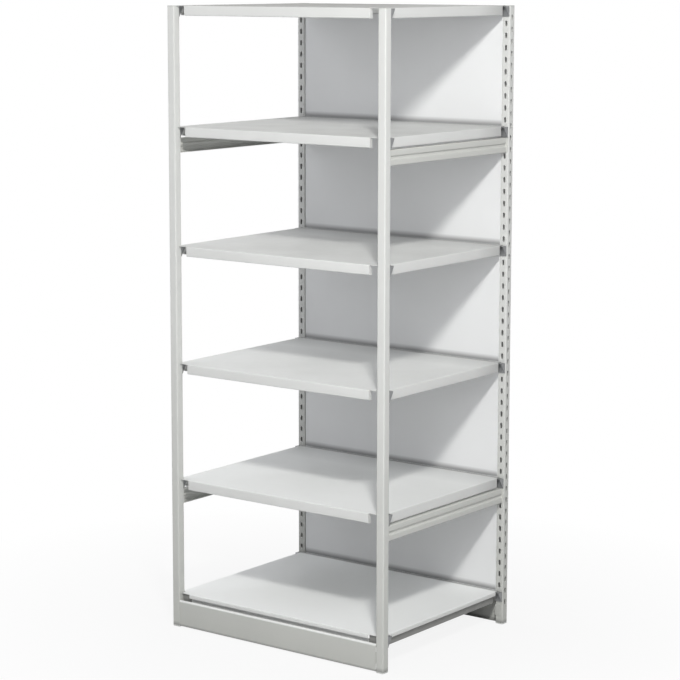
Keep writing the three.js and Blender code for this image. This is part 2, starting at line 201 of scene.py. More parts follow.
class BaySizes(bpy.types.PropertyGroup):
    """Sheet, bend and slot sizes of the bay"""
    seat_gap: length("Seat gap", "Clearance between seated pieces", 0.0003)
    bend_radius: length("Bend radius", "Radius at the middle of a bent sheet", 0.002)
    edge_round: length("Edge round", "Rounding of cut sheet edges under the paint", 0.00035)
    post_wall: length("Post wall", "Wall of the square tube", 0.0015)
    post_corner: length("Post corner", "Outer corner radius of the square tube", 0.003)
    slot_width: length("Slot width", "Width of a post slot", 0.007)
    slot_height: length("Slot height", "Height of a post slot", 0.016)
    slots_per_spacing: bpy.props.IntProperty(
        name="Slots per spacing", description="Slots between two shelf levels", default=10, min=1)
    shelf_sheet: length("Shelf sheet", "Thickness of the shelf steel", 0.0012)
    lip_return: length("Lip return", "Width of the inward fold under a shelf lip", 0.012)
    lip_end_gap: length("Lip end gap", "Gap between a post and the end of a front or rear lip", 0.032)
    nose_height: length("Nose height", "Height of the bottom shelf's nose", 0.012)
    nose_step: length("Nose step", "Step back under the bottom shelf's nose", 0.008)
    slide_gap: length("Slide gap", "Gap round a shelf that lets it lift", 0.002)
    rib_depth: length("Rib depth", "Depth of the rib under a shelf", 0.018)
    rib_crown: length("Rib crown", "Width of the rib's flat bottom", 0.024)
    rib_slope: length("Rib slope", "Width of one sloping side of the rib", 0.008)
    rib_flange: length("Rib flange", "Width of one welded flange of the rib", 0.014)
    clip_plate: length("Clip plate", "Thickness of the clip steel", 0.002)
    hook_thickness: length("Hook thickness", "Thickness of a hook's leg behind the post wall", 0.002)
    tongue_height: length("Tongue height", "Height of a hook's tongue", 0.0073)
    hook_drop: length("Hook drop", "How far a hook's leg drops behind the wall", 0.006)
    tie_sheet: length("Tie sheet", "Thickness of the tie steel", 0.0015)
    tie_depth: length("Tie depth", "Width of the tie's flanges", 0.019)
    tie_inset: length("Tie inset", "Distance of the tie's face from the posts' outer side", 0.005)
    groove_depth: length("Groove depth", "Depth of the groove along a tie", 0.004)
    groove_floor: length("Groove floor", "Width of the groove's floor", 0.006)
    groove_slope: length("Groove slope", "Width of one side of the groove", 0.003)
    plinth_sheet: length("Plinth sheet", "Thickness of the plinth steel", 0.0012)
    plinth_inset: length("Plinth inset", "Gap at each end of the plinth's face", 0.0005)
    plinth_hem: length("Plinth hem", "Width of the fold along the plinth's top", 0.005)
    plinth_flange: length("Plinth flange", "Width of the fold along the plinth's foot", 0.015)
    bracket_height: length("Bracket height", "Height of the plinth's end brackets", 0.032)
    bracket_sheet: length("Bracket sheet", "Thickness of the plinth's end brackets", 0.0015)
    bracket_tab: length("Bracket tab", "Length of the tab welded to the plinth", 0.020)
    bracket_margin: length("Bracket margin", "Bracket steel beyond the hook", 0.004)
    panel_sheet: length("Panel sheet", "Thickness of the back panel", 0.001)
    cap_flange: length("Cap flange", "Thickness of the plug on top of a post", 0.002)
    foot_flange: length("Foot flange", "Thickness of the plug under a post", 0.004)
    plug_round: length("Plug round", "Rounding of a plug's outer edge", 0.0009)
    screw_radius: length("Screw radius", "Shank radius of a panel screw", 0.0019)
    screw_head_height: length("Screw head height", "Height of a panel screw's head", 0.0024)


class BayFinish(bpy.types.PropertyGroup):
    """Colours, gloss, dust, painted light and shade, and darker bands of the bay"""
    frame_paint: colour("Frame paint", "Powder coat of the posts", (0.645, 0.65, 0.635))
    # Painted shade: a darker copy of the frame's grey, used on the plinths and on the lower posts, where the
    # light is weaker.
    shaded_strip_paint: colour("Strip paint", "Powder coat of plinths and worn posts", (0.515, 0.52, 0.495))
    # Painted shade: a darker copy of the frame's grey, so that the ties read darker than the posts beside
    # them.
    shaded_tie_paint: colour("Tie paint", "Powder coat of the side ties", (0.57, 0.575, 0.55))
    shelf_paint: colour("Shelf paint", "Powder coat of the shelves' lips", (0.675, 0.68, 0.67))
    # Painted light: a lighter copy of the shelf paint, put on upward faces so they read lighter than the
    # lips, and on the plinths' top rim as a painted highlight.
    lit_face_paint: colour("Shelf top paint", "Powder coat of the upper faces", (0.86, 0.87, 0.865))
    panel_paint: colour("Panel paint", "Powder coat of the back panel", (0.795, 0.80, 0.805))
    # Painted shade: the dark paint on the bottom shelf's recessed side lips and on the plates in the gaps at
    # the ends of its nose.
    base_shade_paint: colour("Base edge paint", "Scuffed side lips of the bottom shelf", (0.26, 0.26, 0.25))
    # Dust and painted shade: the colour that darkens the upper shelves' tops more with height.
    dust_and_shade: colour("Dust", "Dust on the upper shelves", (0.40, 0.395, 0.38))
    # Grime and painted shade: the dark colour of the shade bands along the shelves' rear and on the panel,
    # and of the darker bands at the posts' and plinths' feet.
    grime_and_shade: colour("Grime", "Dirt in corners and along the floor", (0.13, 0.13, 0.13))
    clip_steel: colour("Clip steel", "Dark passivated steel of the clips", (0.27, 0.275, 0.28))
    plug_plastic: colour("Plug plastic", "Moulded plastic of caps and feet", (0.60, 0.61, 0.59))
    screw_zinc: colour("Screw zinc", "Zinc plating of the screws", (0.55, 0.56, 0.57))
    paint_roughness: share("Paint roughness", "Roughness of the powder coat", 0.54)
    paint_shine: share("Paint shine", "Specular level of the powder coat", 0.22)
    paint_grain: amount("Paint grain", "Waves of the powder coat's orange peel in each metre", 420.0)
    clip_metal: share("Clip metal", "How metallic the clip steel looks", 0.6)
    clip_roughness: share("Clip roughness", "Roughness of the clip steel", 0.5)
    screw_metal: share("Screw metal", "How metallic the zinc looks", 1.0)
    screw_roughness: share("Screw roughness", "Roughness of the zinc", 0.35)
    # Painted shade: below this height the posts' paint darkens towards the floor, standing in for light that
    # falls off lower down.
    shade_height: length("Shade height", "Height up to which the posts' paint is worn", 0.9)
    # The posts' paint darkens in a narrow band at the floor.
    post_foot_darkening: share("Post dirt", "Cover of the dirt round the posts' feet", 0.6)
    post_foot_darkening_height: length("Post dirt height", "Height of the dirt round the posts' feet", 0.012)
    # Painted shade: a dark band along each shelf's rear edge, standing in for the contact shadow where the
    # shelf meets the panel.
    rear_edge_shade: share("Edge dirt", "Cover of the dirt along a shelf's rear edge", 0.75)
    rear_edge_shade_extent: extent("Edge dirt extent", "Its start and full cover before the edge", (0.018, 0.005))
    # Painted shade: the upper shelves' tops darken towards the rear, where less light reaches into the
    # compartment.
    rear_zone_shade: share("Swept dirt", "Cover of the dirt swept to an upper shelf's rear", 0.3)
    rear_zone_shade_extent: extent("Swept dirt extent", "Its start and full cover before the edge", (0.14, 0.02))
    # Painted highlight: a band of lighter paint along each plinth's top, standing in for light caught by the
    # hem.
    rim_highlight_cover: share("Rim shine", "Cover of the bright paint along a plinth's top", 0.8)
    rim_highlight_extent: extent("Rim extent", "Its start and full cover below the top", (0.006, 0.003))
    # The plinths' paint darkens in a narrow band along the floor.
    plinth_foot_darkening: share("Plinth dirt", "Cover of the dirt along a plinth's foot", 0.7)
    plinth_foot_darkening_height: length("Plinth dirt height", "Height of the dirt along a plinth's foot", 0.008)
    # Painted shade: the dark line on the panel just above each shelf.
    panel_shade_line: share("Panel dirt", "Cover of the dirt on the panel above each shelf", 0.65)


class BayStage(bpy.types.PropertyGroup):
    """Camera, lamps and floor"""
    camera_place: point("Camera place", "Where the camera stands", (3.8234, -5.0613, 1.8921))
    camera_turn: turn("Camera turn", "Turn of the camera to the left", math.radians(37.625))
    camera_tilt: turn("Camera tilt", "Tilt of the camera below the horizon", math.radians(8.605))
    lens: amount("Lens", "Focal length in millimetres", 118.17)
    shift_x: amount("Shift X", "Sideways lens shift", 0.0303)
    shift_y: amount("Shift Y", "Upright lens shift", -0.0441)
    key_place: point("Key lamp place", "Where the key lamp hangs", (2.6, -2.97, 3.7))
    key_power: watts("Key lamp power", "Power of the key lamp", 142.0)
    key_size: length("Key lamp size", "Diameter of the key lamp", 0.45)
    key_tint: colour("Key lamp tint", "Colour of the key lamp", (1.0, 0.995, 0.965))
    left_place: point("Left lamp place", "Where the soft lamp on the left hangs", (-2.0, -0.55, 2.0))
    left_power: watts("Left lamp power", "Power of the left lamp", 32.0)
    right_place: point("Right lamp place", "Where the soft lamp on the right hangs", (3.5, -0.5, 3.0))
    right_power: watts("Right lamp power", "Power of the right lamp", 40.0)
    front_place: point("Front lamp place", "Where the soft lamp before the bay hangs", (1.2, -2.1, 1.4))
    front_power: watts("Front lamp power", "Power of the front lamp", 23.0)
    rear_place: point("Rear lamp place", "Where the soft lamp behind the bay hangs", (-0.6, 3.6, 2.0))
    rear_power: watts("Rear lamp power", "Power of the rear lamp", 45.0)
    soft_size: length("Soft lamp size", "Width of the left, right, front and rear lamps", 2.4)
    soft_tint: colour("Soft lamp tint", "Colour of the soft lamps", (0.965, 0.975, 1.0))
    sky_strength: amount("Sky strength", "Strength of the even light from all sides", 0.05)
    sky_tint: colour("Sky tint", "Colour of the even light", (0.96, 0.98, 1.0))
    floor_size: length("Floor size", "Width of the floor", 24.0)
    floor_paint: colour("Floor paint", "Colour of the floor where light falls on it", (0.62, 0.62, 0.62))
    floor_shade: share("Floor shade", "How much of the object's shadow the white floor shows", 0.12)
    shade_near: length("Shade near", "Distance from the middle up to which the shadow is full", 0.5)
    shade_far: length("Shade far", "Distance from the middle at which the shadow ends", 1.5)


def chosen(context):
    """The sizes and the finish that the scene holds."""
    return context.scene.bay_sizes, context.scene.bay_finish


# Surfaces as arrays

def grid_quads(rows, columns, keep=None, wrap=False):
    """Quads of a grid whose points run along a row first. They face the way that along-row crossed with
    row-to-row gives. keep marks the cells that stay, and wrap joins the last column to the first."""
    row = np.arange(rows - 1)[:, None]
    column = np.arange(columns if wrap else columns - 1)[None, :]
    after = (column + 1) % columns
    corners = (row * columns + column, row * columns + after,
               (row + 1) * columns + after, (row + 1) * columns + column)
    quads = np.stack(np.broadcast_arrays(*corners), -1)
    return quads.reshape(-1, 4) if keep is None else quads[keep]


def bent_path(corners, radius, steps=ARC_STEPS):
    """The line through the corners with every inner corner rounded: the arc starts radius times the
    tangent of half the turn before the corner and is swept about the centre on the inner side."""
    corners = np.asarray(corners, float)
    leg = np.diff(corners, axis=0)
    leg /= np.linalg.norm(leg, axis=1, keepdims=True)
    before, after = leg[:-1], leg[1:]
    cross = before[:, 0] * after[:, 1] - before[:, 1] * after[:, 0]
    bend = np.arctan2(cross, (before * after).sum(1))
    start = corners[1:-1] - before * (radius * np.tan(np.abs(bend) / 2))[:, None]
    inward = np.stack([-before[:, 1], before[:, 0]], 1) * np.sign(bend)[:, None]
    centre = start + radius * inward
    angle = bend[:, None] * np.linspace(0, 1, steps + 1)
    spoke = (start - centre)[:, None, :]
    swept_x = spoke[..., 0] * np.cos(angle) - spoke[..., 1] * np.sin(angle)
    swept_y = spoke[..., 0] * np.sin(angle) + spoke[..., 1] * np.cos(angle)
    arcs = centre[:, None, :] + np.stack([swept_x, swept_y], -1)
    return np.concatenate([corners[:1], arcs.reshape(-1, 2), corners[-1:]])


def sheet_sides(path, thickness):
    """The two faces of a sheet along a path: each point moves by half the thickness along the mitre of
    the normals of the two stretches that meet there."""
    leg = np.diff(path, axis=0)
    leg /= np.linalg.norm(leg, axis=1, keepdims=True)
    normal = np.stack([-leg[:, 1], leg[:, 0]], 1)
    first = np.concatenate([normal[:1], normal])
    second = np.concatenate([normal, normal[-1:]])
    mitre = (first + second) / (1 + (first * second).sum(1, keepdims=True))
    return path + mitre * thickness / 2, path - mitre * thickness / 2


def two_rings(outline, low, high):
    """A closed outline, anticlockwise, at two heights along a third axis, and the band of quads between."""
    count = len(outline)
    ring = np.concatenate([outline, np.zeros((count, 1))], 1)
    points = np.concatenate([ring + (0, 0, low), ring + (0, 0, high)])
    return points, grid_quads(2, count, wrap=True)


def carried(outline, low, high):
    """A closed outline carried from low to high along a third axis, with one face on each end."""
    points, band = two_rings(outline, low, high)
    count = len(outline)
    lower = np.arange(count)[::-1]
    upper = np.arange(count, 2 * count)
    return points, [*band.tolist(), lower.tolist(), upper.tolist()]


def carried_sheet(path, thickness, low, high):
    """A bent sheet carried from low to high along a third axis: the closed outline of its two faces, with
    the ends filled by one quad for each stretch of the path."""
    one, other = sheet_sides(np.asarray(path, float), thickness)
    outline = np.concatenate([other, one[::-1]])
    points, band = two_rings(outline, low, high)
    count = len(outline)
    step = np.arange(count // 2 - 1)
    far = count - 1 - step
    upper = np.stack([step, step + 1, far - 1, far], 1) + count
    lower = np.stack([step, far, far - 1, step + 1], 1)
    return points, np.concatenate([band, upper, lower]).tolist()


def upright_face(x, y, z):
    """One upright face: two ends in plan, each at two heights."""
    points = np.stack([np.tile(x, 2), np.tile(y, 2), np.repeat(z, 2)], 1)
    return points, grid_quads(2, 2).tolist()


def along_x(shell):
    """A shell drawn in Y and Z and carried along a third axis, turned so that the third axis is X."""
    points, faces = shell
    return points[:, [2, 0, 1]], faces


def along_y(shell):
    """A shell drawn in Z and X and carried along a third axis, turned so that the third axis is Y."""
    points, faces = shell
    return points[:, [1, 2, 0]], faces


def moved(shell, offset=(0, 0, 0), half_turn=False):
    """A shell shifted by an offset, after half a turn about Z where asked."""
    points, faces = shell
    turned = np.array([-1, -1, 1]) if half_turn else np.ones(3)
    return points * turned + np.asarray(offset), faces


def square_side(half, radius, stops):
    """One side of a square with round corners: the straight face at x = half through the stops, then the
    arc of the corner after it, without its end."""
    inner = half - radius
    straight = np.stack([np.full(len(stops), half), stops], 1)
    angle = np.linspace(0, math.pi / 2, ARC_STEPS + 1)[1:-1]
    arc = inner + radius * np.stack([np.cos(angle), np.sin(angle)], 1)
    return np.concatenate([straight, arc])


def four_sides(side):
    """A side and its copies turned by one, two and three quarter turns, as one closed loop."""
    x, y = side.T
    return np.concatenate([np.stack(turned, 1) for turned in ((x, y), (-y, x), (-x, -y), (y, -x))])


def slotted_tube(half, radius, low, high, columns, slot_size):
    """The outer skin of a square tube. Grid columns run round the section and rows run up it. Two rows
    bound the slots of one height. On the sides that have a slot there they bulge by the height of the
    circle that rounds the slot's ends, and the cells between them inside the slot's width are left out.
    columns gives the slot heights of each slotted side, counted from +X as 0 by quarter turns."""
    slot_radius = slot_size[0] / 2
    straight = slot_size[1] / 2 - slot_radius
    across = slot_radius * np.sin(np.linspace(-math.pi / 2, math.pi / 2, 2 * ARC_STEPS + 1))
    stops = np.concatenate([[radius - half], across, [half - radius]])
    side = square_side(half, radius, stops)
    loop = four_sides(side)
    place = np.tile(np.concatenate([stops, np.full(len(side) - len(stops), math.inf)]), 4)
    rows = {quarter: np.round(heights, HEIGHT_DIGITS) for quarter, heights in columns.items()}
    heights = np.unique(np.concatenate(list(rows.values())))
    cut = np.stack([np.isin(heights, rows.get(quarter, [])) for quarter in range(4)], 1)
    plain = np.zeros((1, 4), bool)
    cut = np.concatenate([plain, np.repeat(cut, 2, axis=0), plain])
    cut = cut[:, np.repeat(np.arange(4), len(side))]
    level = np.concatenate([[low], (heights[:, None] + straight * np.array([-1, 1])).ravel(), [high]])
    sign = np.concatenate([[0], np.tile([-1, 1], len(heights)), [0]])
    bulge = np.sqrt(np.maximum(slot_radius ** 2 - place ** 2, 0))
    z = level[:, None] + sign[:, None] * bulge * cut
    x, y = (np.broadcast_to(part, z.shape) for part in loop.T)
    inside = np.abs(place + np.roll(place, -1)) / 2 < slot_radius
    keep = ~((sign[:-1] == -1)[:, None] & cut[:-1] & inside)
    return np.stack([x, y, z], -1).reshape(-1, 3), grid_quads(*z.shape, keep, wrap=True).tolist()


def fold(edge, lip, radius):
    """One folded edge of a pan from the plate outwards, with a round bend at every corner. It starts just
    before the first bend, so that a cut across the bend ends on the flat. The lip's corners are insets
    from the edge and drops below the plate."""
    corners = [(edge - radius - BEND_RELIEF, 0), *((edge - inset, -drop) for inset, drop in lip)]
    return bent_path(corners, radius)


def pan_profile(low, high, stops, lip, radius):
    """The section of a folded pan: the fold at its low edge, the stops across its flat plate and the fold
    at its high edge. Gives the section, and for each stretch whether it lies in a fold."""
    left = fold(-low, lip, radius)[::-1] * (-1, 1)
    right = fold(high, lip, radius)
    flat = np.stack([stops, np.zeros(len(stops))], 1)
    stretch = np.arange(len(left) + len(flat) + len(right) - 1)
    folded = (stretch < len(left) - 1) | (stretch >= len(left) + len(flat))
    return np.concatenate([left, flat, right]), folded


def folded_pan(across, along, notch, lip_ends):
    """A pan folded on four sides as one surface of two sections: a point takes X from one section, Y from
    the other, and its height is the sum of both drops. Cells in both folds at once are cut away, and so
    are the plate's corners beyond the notch and the lips beyond their ends."""
    (x_section, x_folded), (y_section, y_folded) = across, along
    x_middle = np.abs(x_section[:-1, 0] + x_section[1:, 0])[None, :] / 2
    y_middle = np.abs(y_section[:-1, 0] + y_section[1:, 0])[:, None] / 2
    x_folded, y_folded = x_folded[None, :], y_folded[:, None]
    keep = ~(x_folded & y_folded)
    keep &= ~(y_folded & (x_middle > lip_ends[0]))
    keep &= ~(x_folded & (y_middle > lip_ends[1]))
    keep &= (x_middle < notch[0]) | (y_middle < notch[1])
    x, y = np.meshgrid(x_section[:, 0], y_section[:, 0])
    z = x_section[None, :, 1] + y_section[:, None, 1]
    points = np.stack([x, y, z], -1).reshape(-1, 3)
    return points, grid_quads(len(y_section), len(x_section), keep).tolist()


def add_piece(node, kind, shells, material, body, wall=0.0, edge=0.0):
    """Makes a mesh object from shells, gives a single-skinned sheet its wall, rounds its cut edges, and
    sets it on its body in place of its node."""
    name = f"{node}_{kind}"
    points = np.concatenate([own for own, _ in shells])
    faces = []
    start = 0
    for own, quads in shells:
        faces += [[start + corner for corner in quad] for quad in quads]
        start += len(own)
    mesh = bpy.data.meshes.new(name)
    mesh.from_pydata(points.tolist(), [], faces)
    shape = bmesh.new()
    shape.from_mesh(mesh)
    bmesh.ops.remove_doubles(shape, verts=shape.verts, dist=WELD_DISTANCE)
    loose = [vert for vert in shape.verts if not vert.link_faces]
    bmesh.ops.delete(shape, geom=loose, context="VERTS")
    shape.to_mesh(mesh)
    shape.free()
    mesh.shade_smooth()
    mesh.set_sharp_from_angle(angle=SHARP_ANGLE)
    mesh.materials.append(material)
    piece = bpy.data.objects.new(name, mesh)
    bpy.context.scene.collection.objects.link(piece)
    if wall:
        skin = piece.modifiers.new("Wall", "SOLIDIFY")
        skin.thickness = wall
        skin.offset = -1
        skin.use_even_offset = True
    if edge:
        bevel = piece.modifiers.new("Edge", "BEVEL")
        bevel.width = edge
        bevel.segments = EDGE_SEGMENTS
        bevel.limit_method = "ANGLE"
        bevel.angle_limit = EDGE_ANGLE
        bevel.harden_normals = True
        bevel.loop_slide = False
    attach(piece, body)
    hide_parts(node)


# Finishes

def add_node(tree, kind, sockets, **settings):
    """Adds a shader node, sets its plain settings, and links or fills its sockets."""
    made = tree.nodes.new(kind)
    for setting, value in settings.items():
        setattr(made, setting, value)
    for socket, value in sockets.items():
        if isinstance(value, bpy.types.NodeSocket):
            tree.links.new(value, made.inputs[socket])
        else:
            made.inputs[socket].default_value = value
    return made


def new_material(name):
    """An empty node material, its tree, and the Object coordinates that its patterns read."""
    material = bpy.data.materials.new(name)
    material.use_nodes = True
    tree = material.node_tree
    tree.nodes.clear()
    return material, tree, add_node(tree, "ShaderNodeTexCoord", {}).outputs["Object"]


def noise(tree, place, waves, detail=2.0):
    """A noise of so many waves in each metre."""
    sockets = {"Vector": place, "Scale": waves, "Detail": detail}
    return add_node(tree, "ShaderNodeTexNoise", sockets).outputs["Fac"]


def part_of(tree, vector, axis):
    """The part of a vector along one axis."""
    return add_node(tree, "ShaderNodeSeparateXYZ", {"Vector": vector}).outputs[axis]


def joined(tree, operation, first, second):
    """Two values joined by one operation."""
    return add_node(tree, "ShaderNodeMath", {0: first, 1: second}, operation=operation).outputs[0]


def product(tree, first, second):
    """One value times another."""
    return joined(tree, "MULTIPLY", first, second)


def blend(tree, factor, first, second):
    """A colour between two others."""
    sockets = {"Factor": factor, MIX_FIRST: first, MIX_SECOND: second}
    return add_node(tree, "ShaderNodeMix", sockets, data_type="RGBA").outputs[MIX_COLOUR]


def spread(tree, value, low, high, to_low, to_high):
    """A value mapped from one range to another and held inside it."""
    sockets = {"Value": value, "From Min": low, "From Max": high, "To Min": to_low, "To Max": to_high}
    return add_node(tree, "ShaderNodeMapRange", sockets).outputs["Result"]


def opaque(linear, factor=1.0):
    """A linear colour times a factor, with full alpha."""
    return (*(channel * factor for channel in linear), 1.0)


def add_surface(tree, height, strength, depth, sockets):
    """The material's surface: a shader with these sockets, over a bump of so much strength and depth."""
    bump = add_node(tree, "ShaderNodeBump", {"Strength": strength, "Distance": depth, "Height": height})
    shader = add_node(tree, "ShaderNodeBsdfPrincipled", {**sockets, "Normal": bump.outputs["Normal"]})
    add_node(tree, "ShaderNodeOutputMaterial", {"Surface": shader.outputs["BSDF"]})


def facing(axis, way):
    """A mask that is 1 on faces that look one way along an axis and 0 on the others."""
    def mask(tree, place):
        normal = add_node(tree, "ShaderNodeNewGeometry", {}).outputs["Normal"]
        start, full = FACING_RANGE
        return spread(tree, part_of(tree, normal, axis), start * way, full * way, 0, 1)
    return mask


def beyond(axis, start, end):
    """A mask that rises from 0 to 1 between two places along an axis."""
    def mask(tree, place):
        rising = float(start < end)
        return spread(tree, part_of(tree, place, axis), min(start, end), max(start, end), 1 - rising, rising)
    return mask


def before(axis, edge, insets):
    """A mask that rises from 0 to 1 between two insets before an edge."""
    return beyond(axis, *(edge - inset for inset in insets))


def both(first, second):
    """A mask where two masks meet."""
    def mask(tree, place):
        return product(tree, first(tree, place), second(tree, place))
    return mask


def dust_and_shade_top(tree, place):
    """Dust and painted shade on upper faces: a film that thickens from shelf to shelf, and a patchy coat on
    the top shelf.
    """
    height = part_of(tree, place, "Z")
    film = spread(tree, height, SHELF_TOPS[0], SHELF_TOPS[-2], 0, DUST_AND_SHADE_FILM)
    coat = spread(tree, height, SHELF_TOPS[-2] + LEVEL_MARGIN, SHELF_TOPS[-1] - LEVEL_MARGIN, 0, DUST_AND_SHADE_COAT)
    patches = spread(tree, noise(tree, place, DUST_WAVES, detail=4.0), *NOISE_RANGE, DUST_THIN, 1)
    depth = product(tree, joined(tree, "ADD", film, coat), patches)
    return product(tree, depth, facing("Z", 1)(tree, place))


def above_shelves(tree, place):
    """A painted shade line on the back panel's front just above each shelf, standing in for the shelf's
    contact shadow.
    """
    lifted = joined(tree, "SUBTRACT", part_of(tree, place, "Z"), SHELF_TOPS[0])
    over = joined(tree, "FLOORED_MODULO", lifted, SHELF_SPACING)
    return product(tree, spread(tree, over, *PANEL_SHADE_LINE, 1, 0), facing("Y", -1)(tree, place))


def powder_coat(name, paint, finish, layers=()):
    """Powder-coated steel: a broad drift of tone, a fine orange peel in the bump and a roughness that
    varies. Each layer is a mask, a colour and how much of it covers the paint there."""
    material, tree, place = new_material(name)
    drift = spread(tree, noise(tree, place, DRIFT_WAVES, detail=3.0), *DRIFT_RANGE, 0, 1)
    shade = blend(tree, drift, opaque(paint, DRIFT_TONE), opaque(paint))
    for mask, tone, cover in layers:
        shade = blend(tree, product(tree, mask(tree, place), cover), shade, opaque(tone))
    gloss = spread(tree, noise(tree, place, GLOSS_WAVES), *NOISE_RANGE,
                   finish.paint_roughness - GLOSS_SWING, finish.paint_roughness + GLOSS_SWING)
    peel = noise(tree, place, finish.paint_grain, detail=1.0)
    add_surface(tree, peel, PEEL_STRENGTH, PEEL_DEPTH, {
        "Base Color": shade, "Roughness": gloss, "Specular IOR Level": finish.paint_shine})
    return material


def bare_steel(name, steel, metal, roughness):
    """Plated or passivated steel: brushed streaks along Z in the roughness, and a mottled tone."""
    material, tree, place = new_material(name)
    drawn = add_node(tree, "ShaderNodeMapping", {"Vector": place, "Scale": STREAK_STRETCH})
    streaks = noise(tree, drawn.outputs["Vector"], STREAK_WAVES)
    mottle = noise(tree, place, MOTTLE_WAVES, detail=3.0)
    shade = blend(tree, mottle, *(opaque(steel, tone) for tone in MOTTLE_TONES))
    gloss = spread(tree, streaks, *NOISE_RANGE, roughness - STREAK_SWING, roughness + STREAK_SWING)
    add_surface(tree, streaks, STREAK_STRENGTH, STREAK_DEPTH, {
        "Base Color": shade, "Metallic": metal, "Roughness": gloss})
    return material


def moulded_plastic(name, plastic):
    """Moulded plastic with a cloudy tone and a fine spark texture."""
    material, tree, place = new_material(name)
    spark = noise(tree, place, SPARK_WAVES)
    shade = blend(tree, noise(tree, place, CLOUD_WAVES), opaque(plastic, CLOUD_TONE), opaque(plastic))
    gloss = spread(tree, spark, *NOISE_RANGE, *SPARK_ROUGHNESS)
    add_surface(tree, spark, SPARK_STRENGTH, SPARK_DEPTH, {"Base Color": shade, "Roughness": gloss})
    return material


# Pieces

def slot_heights(sizes):
    """Slot centres: at the middle of each clip, and evenly between."""
    count = (len(SHELF_TOPS) - 1) * sizes.slots_per_spacing + 1
    return np.linspace(SHELF_TOPS[0], SHELF_TOPS[-1], count) - LEDGE_DROP - CLIP_HEIGHT / 2


def lip_reach(sizes):
    """How far a shelf's front and rear lips reach from the middle to each side."""
    return POST_INNER_X - sizes.lip_end_gap


def hook(sizes, slot_z):
    """A hook on the wall at y = minus half the post: a tongue through the slot and a leg that drops behind
    the wall, drawn in Y and Z and carried along X."""
    face = -POST_SIZE / 2
    inside = face + sizes.post_wall + sizes.seat_gap
    back = inside + sizes.hook_thickness
    root = face - sizes.seat_gap - sizes.clip_plate / 2
    seat = slot_z - sizes.slot_height / 2 + sizes.seat_gap
    foot = seat - sizes.hook_drop
    top = seat + sizes.tongue_height
    outline = np.array([(root, seat), (inside, seat), (inside, foot), (back, foot), (back, top),
                        (root, top)])
    half = sizes.slot_width / 2 - sizes.seat_gap
    return along_x(carried(outline, -half, half))


class BAY_OT_posts(bpy.types.Operator):
    """Makes the four slotted square posts"""
    bl_idname = "bay.posts"
    bl_label = "Posts"

    def execute(self, context):
        sizes, finish = chosen(context)
        foot = POST_LOW.z
        # Painted shade: the posts' paint grades to the darker strip paint from the shade height down to the
        # floor.
        shaded = (beyond("Z", finish.shade_height, 0), finish.shaded_strip_paint, 1)
        # The lowest few millimetres of each post are darker.
        darkening = (beyond("Z", foot + finish.post_foot_darkening_height, foot), finish.grime_and_shade, finish.post_foot_darkening)
        paint = powder_coat("frame_powder_coat", finish.frame_paint, finish, [shaded, darkening])
        pattern = slot_heights(sizes)
        half_pitch = (pattern[1] - pattern[0]) / 2
        for corner, (side, end) in CORNERS.items():
            node = f"post_{corner}"
            low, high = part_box(node)
            # Each post has slots in its face towards the bay, and a rear post in its outer side too
            columns = {2 + end: np.append(pattern, PLINTH_MIDDLE)}
            if end > 0:
                columns[1 - side] = pattern - half_pitch
            skin = slotted_tube(POST_SIZE / 2, sizes.post_corner, low.z, high.z, columns,
                                (sizes.slot_width, sizes.slot_height))
            skin = moved(skin, (side * POST_X, end * POST_Y, 0))
            add_piece(node, "tube", [skin], paint, "frame", sizes.post_wall, sizes.edge_round)
        return {"FINISHED"}


class BAY_OT_plugs(bpy.types.Operator):
    """Makes the plastic caps and feet in the post ends"""
    bl_idname = "bay.plugs"
    bl_label = "Caps and feet"

    def ring(self, half, radius, height):
        """A rounded square at a height."""
        stops = np.linspace(radius - half, half - radius, PLUG_STOPS)
        loop = four_sides(square_side(half, radius, stops))
        return np.concatenate([loop, np.full((len(loop), 1), height)], 1)

    def plug(self, sizes, flange, spigot):
        """Rings from the spigot's end up to the outer face: the spigot fits the bore, the flange is as wide
        as the post, a quarter circle rounds its outer edge, and both ends are drawn to a point."""
        half, corner = POST_SIZE / 2, sizes.post_corner
        bore = half - sizes.post_wall - sizes.seat_gap
        inner = corner - sizes.post_wall
        angle = np.linspace(0, math.pi / 2, ARC_STEPS + 1)
        inset = sizes.plug_round * (1 - np.cos(angle))
        rise = flange - sizes.plug_round + sizes.plug_round * np.sin(angle)
        rings = [self.ring(bore, inner, -spigot), self.ring(bore, inner, 0), self.ring(half, corner, 0)]
        rings += [self.ring(half - less, corner - less, height) for less, height in zip(inset, rise)]
        flat = (0, 0, 1)
        rings = [rings[0] * flat, *rings, rings[-1] * flat]
        return np.concatenate(rings), grid_quads(len(rings), len(rings[0]), wrap=True).tolist()

    def execute(self, context):
        sizes, finish = chosen(context)
        plastic = moulded_plastic("moulded_plastic", finish.plug_plastic)
        for corner, (side, end) in CORNERS.items():
            for kind, flange in (("cap", sizes.cap_flange), ("foot", sizes.foot_flange)):
                node = f"{kind}_{corner}"
                low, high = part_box(node)
                points, faces = self.plug(sizes, flange, high.z - low.z - flange)
                base = high.z - flange
                if kind == "foot":
                    points = points * (1, -1, -1)
                    base = low.z + flange
                shell = moved((points, faces), (side * POST_X, end * POST_Y, base))
                add_piece(node, "plug", [shell], plastic, "frame")
        return {"FINISHED"}


